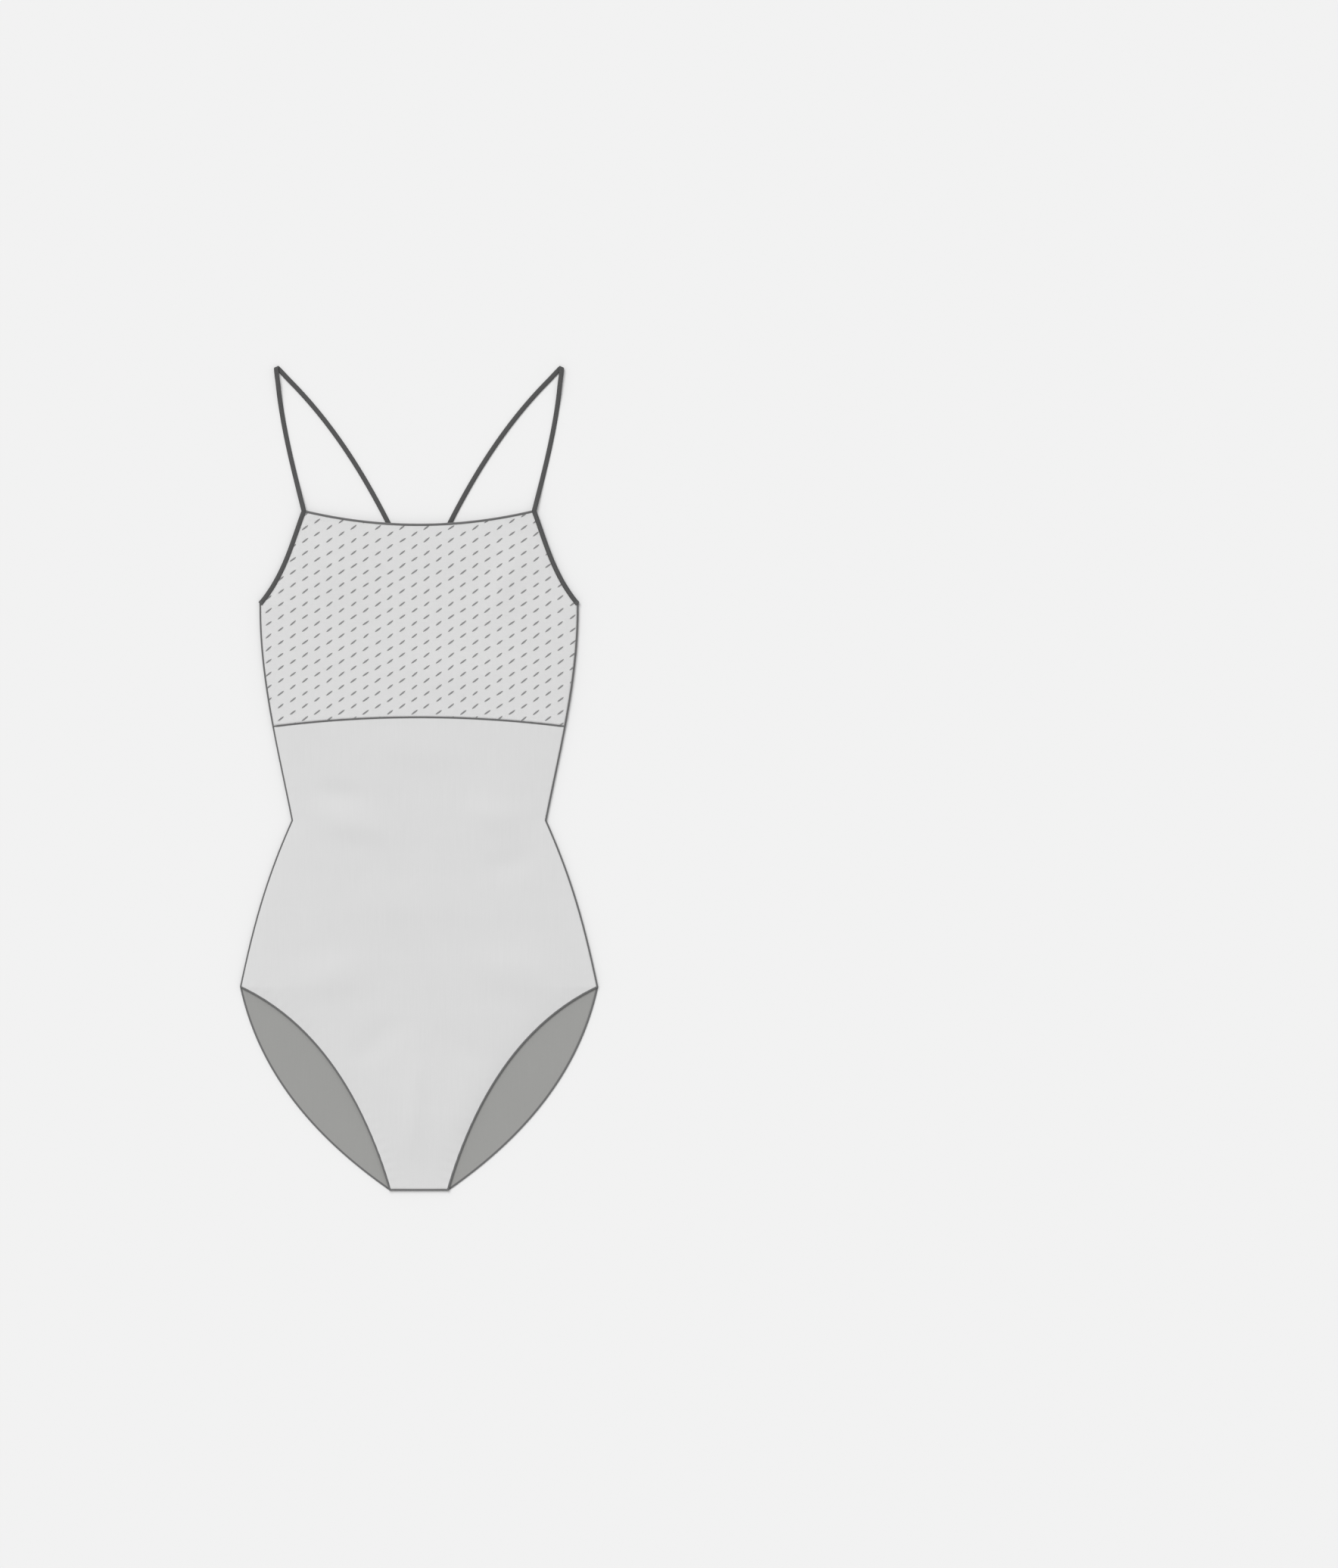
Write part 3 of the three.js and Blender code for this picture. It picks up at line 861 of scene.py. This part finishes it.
# Dashes as small spindles. Each runs from the first to the last of its fine steps that lie inside. Those of
# the back, whose outwards is -1, are drawn as seen from behind and so are mirrored.
def newDashes(name, anchor, inside, height, outwards):
    columns = np.arange(-dash["columns"], dash["columns"] + 1)
    rows = np.arange(-dash["rows"], dash["rows"] + 1)
    i, j = np.meshgrid(columns, rows)
    x = anchor[0] + i * dash["columnPitch"]
    y = anchor[1] + (j + 0.5 * (i % 2)) * dash["rowPitch"]
    draw = np.random.default_rng(dash["seed"])
    uneven = dash["uneven"]
    centre = np.stack([x.ravel(), y.ravel()], axis=1) + draw.normal(0, uneven["place"], (x.size, 2))
    angle = np.radians(dash["angle"] + draw.normal(0, uneven["angle"], x.size))
    reach = dash["length"] / 2 * (1 + draw.normal(0, uneven["length"], x.size))
    way = (np.stack([np.cos(angle), np.sin(angle)], axis=1) * reach[:, None])[:, None]
    fine = np.linspace(-1, 1, dash["fine"])
    spots = centre[:, None] + fine[None, :, None] * way
    kept = inside(spots[..., 0], spots[..., 1])
    first = np.where(kept.any(axis=1), fine[kept.argmax(axis=1)], 0)
    last = np.where(kept.any(axis=1), fine[::-1][kept[:, ::-1].argmax(axis=1)], 0)
    use = last - first > dash["least"]
    centre, way, first, last = centre[use], way[use], first[use, None], last[use, None]
    share = first + (last - first) * np.linspace(0, 1, dash["rings"])
    spot = (centre[:, None] + share[..., None] * way) * (outwards, 1)
    swell = np.sqrt(np.clip(1 + dash["blunt"] - share**2, dash["blunt"], 1))
    z = height(spot[..., 0], spot[..., 1]) + outwards * dash["raised"] * dash["height"] * swell
    turn = np.linspace(0, 2 * np.pi, dash["sides"], endpoint=False)
    ring = np.stack([np.cos(turn) * dash["width"] / 2, np.sin(turn) * dash["height"] / 2], axis=1)
    outs = np.broadcast_to([0.0, 0.0, outwards], (*spot.shape[:2], 3))
    print("dashes", name, len(centre))
    sections = swell[..., None, None] * ring * mm
    return newSwept(name, toFrame(spot[..., 0], spot[..., 1], z), outs, sections, "dash")


def netTop(x, y):
    return frontCloth(x, y) + panel["netLift"] + panel["net"]


frontDashes = newDashes("frontDashes", dash["frontAnchor"], insideFrontYoke, netTop, 1)
backDashes = newDashes("backDashes", dash["backAnchor"], insideBackYoke, backNetUnder, -1)

# Bands: one section swept along one path.
band = {
    "strip": 4.2,
    "stripThick": 1.4,
    "boundThick": 2.3,
    "wall": 0.36,
    "narrow": 2.0,
    "narrowThick": 1.4,
    "step": 0.4,
    "cornerReach": 4,
    "tuckedEnd": 1.0,
}


# One band. The section repeats at every ring, with each ring's scale across and outwards.
def newBand(name, centres, outs, section, finish, nodes=(), flip=False, scale=None, skew=None):
    sections = np.broadcast_to(section * mm, (1, len(centres), *section.shape))
    if scale is not None:
        sections = sections * scale[None, :, None, :]
    return newSwept(name, centres[None], outs[None], sections, finish, nodes, flip, skew)


def upwards(count, way=1.0):
    return np.tile([0.0, 0.0, way], (count, 1))


# A rolled look for narrow edgings: the section swells and shrinks once for each thread, up to its full
# thickness.
def threadSwell(count, pitch, depth, thick=1.0, step=band["step"]):
    swell = 1 + depth * np.sin(2 * np.pi * np.arange(count) * step / pitch)
    return np.stack([swell, swell / (1 + depth) * thick], axis=1)


# Narrow edgings of the legs, each cut off at the plane that halves its corner at the crotch, and of the neck.
edging = {
    "longer": 0.8,
    "legMiddle": 0.7,
    "legPoints": 10,
    "cornerReach": 6,
    "neckMiddle": 1.15,
    "neckThick": 2.1,
    "neckPoints": 12,
    "neckEnd": 1.9,
    "pitch": 1.6,
    "depth": 0.035,
}
sides = {"Left": True, "Right": False}
legWay = {name: np.array(edges[name][1], float) - edges[name][0] for name in ("frontLeg", "backLeg")}
for sideName, flip in sides.items():
    for place, edgeName, out in (("Front", "frontLeg", 1.0), ("Back", "backLeg", -1.0)):
        plan = longer(edgePoints(edgeName, band["step"]), edging["longer"])
        middle = edging["legMiddle"] + (frontUnder(*plan.T) if place == "Front" else 0)
        way = legWay[edgeName]
        newBand(
                f"legEdging{place}{sideName}",
                toFrame(*plan.T, middle),
                upwards(len(plan), out),
                roundSection(band["narrow"], band["narrowThick"], edging["legPoints"]),
                "edging",
                [f"leg_binding_{place.lower()}_{sideName.lower()}"],
                flip,
                threadSwell(len(plan), edging["pitch"], edging["depth"]),
                out * cornerLean(plan, (-way[0], way[1]), False, edging["cornerReach"]),
            )

neckLine = evenly(neckPoints(), band["step"])
neckLine = neckLine[np.abs(neckLine[:, 0]) < neck["half"] - edging["neckEnd"]]
neckEdging = newBand(
    "neckEdging",
    toFrame(*neckLine.T, frontCloth(*neckLine.T) + edging["neckMiddle"]),
    upwards(len(neckLine)),
    roundSection(band["narrow"], edging["neckThick"], edging["neckPoints"]),
    "edging",
    ["neck_binding"],
    scale=threadSwell(len(neckLine), edging["pitch"], edging["depth"]),
)

# Flatlock seams at the yoke, and rolled seams down the sides and across the crotch. Heights are over the
# floor, but frontFoot and frontTop are over the front cloth. A yoke seam's ends run into the side seams, and
# the side seams' ends into the back bindings.
seam = {
    "width": 1.9,
    "yokeWidth": 1.45,
    "points": 12,
    "power": 2.4,
    "pitch": 1.3,
    "depth": 0.07,
    "step": 0.26,
    "frontFoot": 0.1,
    "frontTop": 2.0,
    "backTop": 1.4,
    "endReach": 4,
    "endDrop": 0.6,
    "endRise": 0.35,
}
sideSeam = {
    "cutRings": 2,
    "top": 3.15,
    "yokeMore": 0.45,
    "yokeReach": 4,
    "footRise": 0.9,
    "footFrom": 3.4,
    "footRun": 2,
}
crotch = {"half": 25.8, "top": 3.12}


def newSeam(name, plan, foot, top, width, flip=False):
    return newBand(
        name,
        toFrame(*plan.T, (top + foot) / 2),
        upwards(len(plan)),
        roundSection(width, 1.0, seam["points"], seam["power"]),
        "seam",
        flip=flip,
        scale=threadSwell(len(plan), seam["pitch"], seam["depth"], top - foot, seam["step"]),
    )


# 1 at the ends of a yoke seam and 0 inwards of their reach.
def seamEnd(line):
    return smooth(1 - (yokeSeam["half"] - np.abs(line[:, 0])) / seam["endReach"])


frontSeamLine = evenly(seamPoints(yokeSeam["frontRise"]), seam["step"])
backSeamLine = evenly(seamPoints(-yokeSeam["backDip"]), seam["step"])
frontSeamCloth = frontCloth(*frontSeamLine.T)
frontYokeSeam = newSeam(
    "frontYokeSeam",
    frontSeamLine,
    frontSeamCloth + seam["frontFoot"],
    frontSeamCloth + seam["frontTop"] - seam["endDrop"] * seamEnd(frontSeamLine),
    seam["yokeWidth"],
)
backSeamFoot = seam["endRise"] * seamEnd(backSeamLine)
backYokeSeam = newSeam("backYokeSeam", backSeamLine, backSeamFoot, seam["backTop"], seam["yokeWidth"])
sideLine = evenly(joined(edgePoints("hipSide"), edgePoints("side")), seam["step"])
sideLine = sideLine[: -sideSeam["cutRings"]]
sideRise = (sideLine[:, 1] - yokeSeam["height"] + sideSeam["yokeReach"]) / (2 * sideSeam["yokeReach"])
sideTop = sideSeam["top"] + sideSeam["yokeMore"] * smooth(sideRise)
sideEnd = (sideLine[:, 1] - edges["armhole"][0][1] + sideSeam["footFrom"]) / sideSeam["footRun"]
sideFoot = sideSeam["footRise"] * smooth(sideEnd)
for sideName, flip in sides.items():
    newSeam(f"sideSeam{sideName}", sideLine, sideFoot, sideTop, seam["width"], flip)
crotchLine = evenly(np.array([(-crotch["half"], 0), (crotch["half"], 0)]), seam["step"])
crotchSeam = newSeam("crotchSeam", crotchLine, 0, crotch["top"], seam["width"])

# The strip: armhole binding, strap and back neckline binding, with a zigzag stitch along it.
strapFall = {"fromCorner": 34, "fromFold": 42, "beforeFold": 12}
fold = {"radius": 1.0, "steps": 24, "settle": 16}
elastic = {"points": 20, "power": 3.2, "groove": 0.12, "cornerRun": 9}
zigzag = {
    "pitch": 1.25,
    "half": 0.85,
    "thread": 0.34,
    "flatness": 0.8,
    "points": 5,
    "sides": 6,
    "inset": 0.02,
    "rise": 0.1,
    "sink": 0.05,
    "ends": 1.2,
    "stripShare": 0.44,
    "boundLift": 1.16,
    "pastTack": 3.4,
}
tack = {
    "length": 2.4,
    "before": 0.2,
    "pitch": 0.5,
    "turnRings": 4,
    "depth": 0.05,
    "wider": 0.14,
    "thicker": 0.2,
    "points": 20,
    "power": 5,
}
stripLift = band["stripThick"] * zigzag["stripShare"]


def elasticSection():
    shape = (elastic["points"], elastic["power"], elastic["groove"])
    return roundSection(band["strip"], band["stripThick"], *shape)


# The front strap's middle height, from the corner down to the floor and up again to the fold.
def frontStrapMiddle(run):
    length = run[-1]
    fall = smooth(run / strapFall["fromCorner"])
    climb = smooth((run - length + strapFall["fromFold"]) / (strapFall["fromFold"] - strapFall["beforeFold"]))
    corner = lay["backTop"] + lay["gap"] + band["boundThick"] / 2
    top = band["stripThick"] / 2 + 2 * fold["radius"]
    raised = corner + (top - corner) * smooth(run / length)
    return raised + (band["stripThick"] / 2 - raised) * fall * (1 - climb)


# The strap's middle and outer direction, right side: up the front, over the slanted fold and down the back.
def strapPath(lift):
    front, back = edgePoints("frontStrap"), edgePoints("backStrap")
    past = edgePoints("backTop") * (-1, 1)
    past = past[1:][runOf(past)[1:] <= crossing["seam"] + crossing["overlap"]]
    leaving = unit(front[-1] - front[-2])
    returning = unit(back[1] - back[0])
    crease = unit(leaving + returning)
    slant = leaving @ crease
    beyond = unit(leaving - slant * crease)
    slide = slant / (leaving @ beyond) * fold["radius"]
    turn = np.linspace(0, np.pi, fold["steps"] + 1)[:, None]
    roll = front[-1] + crease * slide * (turn - np.pi / 2) + beyond * fold["radius"] * np.sin(turn)
    rollOut = np.concatenate([beyond * np.sin(turn), np.cos(turn)], axis=1)
    rollMiddle = band["stripThick"] / 2 + fold["radius"] * (1 + np.cos(turn[:, 0]))
    run = runOf(front)
    front = front - crease * slide * np.pi / 2 * smooth(1 - (run[-1] - run) / fold["settle"])[:, None]
    behind = np.concatenate([back, past])
    away = np.linalg.norm(behind - behind[len(back) - 1], axis=1)
    behindMiddle = band["stripThick"] / 2 + lift * nearCrossing(away)
    behindMiddle += lay["stitchRest"] * smooth(runOf(behind) / fold["settle"])
    behind = behind + crease * slide * np.pi / 2 * smooth(1 - runOf(behind) / fold["settle"])[:, None]
    plan = np.concatenate([front[:-1], roll, behind[1:]])
    middle = np.concatenate([frontStrapMiddle(run)[:-1], rollMiddle, behindMiddle[1:]])
    outs = np.concatenate([upwards(len(front) - 1), rollOut, upwards(len(behind) - 1, -1.0)])
    return toFrame(*plan.T, middle), outs


# A zigzag row on a band's outer face: each stitch crosses from one side of the row to the other.
def newZigzag(name, centres, outs, lift, flip, start=zigzag["ends"]):
    pitch = zigzag["pitch"] * mm
    run = runOf(centres)
    count = int((run[-1] - (start + zigzag["ends"]) * mm) / pitch)
    first = start * mm + np.arange(count) * pitch
    share = np.linspace(zigzag["inset"], 1 - zigzag["inset"], zigzag["points"])
    at = first[:, None] + pitch * share
    along = np.gradient(centres, axis=0)
    across = np.cross(along, outs)
    across /= np.linalg.norm(across, axis=1, keepdims=True)
    swing = np.where(np.arange(count) % 2, -1, 1)[:, None] * (2 * share - 1) * zigzag["half"] * mm
    arch = np.sin(np.pi * share) * zigzag["rise"] + lift - zigzag["sink"]
    out = rowsAt(at, run, outs)
    aside = swing[..., None] * rowsAt(at, run, across)
    spots = rowsAt(at, run, centres) + aside + (arch * mm)[None, :, None] * out
    ring = roundSection(zigzag["thread"], zigzag["thread"] * zigzag["flatness"], zigzag["sides"], 2.0) * mm
    sections = np.broadcast_to(ring, (count, len(share), *ring.shape))
    return newSwept(name, spots, out, sections, "stitch", flip=flip)


# One side's armhole binding, strap, underarm tack and stitches. The binding and the strap meet in the plane
# that halves their corner.
def newStrip(sideName, flip, lift):
    armhole = edgePoints("armhole", band["step"])
    strapWay = np.array(edges["frontStrap"][1], float) - edges["frontStrap"][0]
    armholeWay = np.array(edges["armhole"][3], float) - edges["armhole"][2]
    armholeCentres = toFrame(*armhole.T, frontCloth(*armhole.T) + band["boundThick"] / 2)
    armholePiece = newBand(
        f"armholeBinding{sideName}",
        armholeCentres,
        upwards(len(armhole)),
        foldedSection(band["strip"], band["boundThick"], band["wall"]),
        "elastic",
        [f"armhole_binding_{sideName.lower()}"],
        flip,
        skew=cornerLean(armhole, strapWay, True, band["cornerReach"]),
    )
    centres, outs = strapPath(lift)
    centres, outs = evenly(centres / mm, band["step"], outs)
    outs /= np.linalg.norm(outs, axis=1, keepdims=True)
    skew = cornerLean(centres, armholeWay, False, band["cornerReach"])
    more = band["boundThick"] / band["stripThick"] - 1
    thicker = 1 + more * smooth(1 - runOf(centres) / elastic["cornerRun"])
    centres = centres * mm
    strapPiece = newBand(
        f"strap{sideName}",
        centres,
        outs,
        elasticSection(),
        "elastic",
        [f"strap_{sideName.lower()}"],
        flip,
        np.stack([np.ones(len(centres)), thicker], axis=1),
        skew,
    )
    tackPoints = armhole[: round(tack["length"] / band["step"]) + 1]
    tackLine = evenly(longer(tackPoints, tack["before"]), tack["pitch"] / tack["turnRings"])
    turns = np.arange(len(tackLine)) / tack["turnRings"]
    swell = 1 + tack["depth"] * np.sin(2 * np.pi * turns)
    tackWidth = band["strip"] + tack["wider"]
    tackThick = band["boundThick"] + tack["thicker"]
    tackPiece = newBand(
        f"underarmTack{sideName}",
        toFrame(*tackLine.T, frontCloth(*tackLine.T) + band["boundThick"] / 2),
        upwards(len(tackLine)),
        roundSection(tackWidth, tackThick, tack["points"], tack["power"]),
        "stitch",
        flip=flip,
        scale=np.stack([np.ones(len(tackLine)), swell], axis=1),
    )
    return [
        armholePiece,
        strapPiece,
        tackPiece,
        newZigzag(f"strapStitches{sideName}", centres, outs, stripLift, flip),
        newZigzag(
            f"armholeStitches{sideName}",
            armholeCentres,
            upwards(len(armhole)),
            zigzag["boundLift"],
            flip,
            zigzag["pastTack"],
        ),
    ]


strips = newStrip("Left", True, 0) + newStrip("Right", False, crossing["lift"])


# The back neckline binding, right half drawn and mirrored for the left.
def newBackBinding(sideName, flip, lift):
    line = edgePoints("backTop", band["step"])
    line = line[runOf(line) >= crossing["seam"] - crossing["overlap"]]
    line = longer(line[::-1], band["tuckedEnd"])[::-1]
    away = np.linalg.norm(line - np.array(edges["backTop"][0]), axis=1)
    middle = band["stripThick"] / 2 + lift * nearCrossing(away)
    centres = toFrame(*line.T, middle + lay["stitchRest"])
    outs = upwards(len(line), -1.0)
    piece = newBand(
        f"backBinding{sideName}",
        centres,
        outs,
        elasticSection(),
        "elastic",
        [f"back_binding_{sideName.lower()}"],
        flip,
        skew=-uprightLean(line, band["cornerReach"]),
    )
    return [piece, newZigzag(f"backStitches{sideName}", centres, outs, stripLift, flip)]


backBindings = newBackBinding("Left", True, crossing["lift"]) + newBackBinding("Right", False, 0)
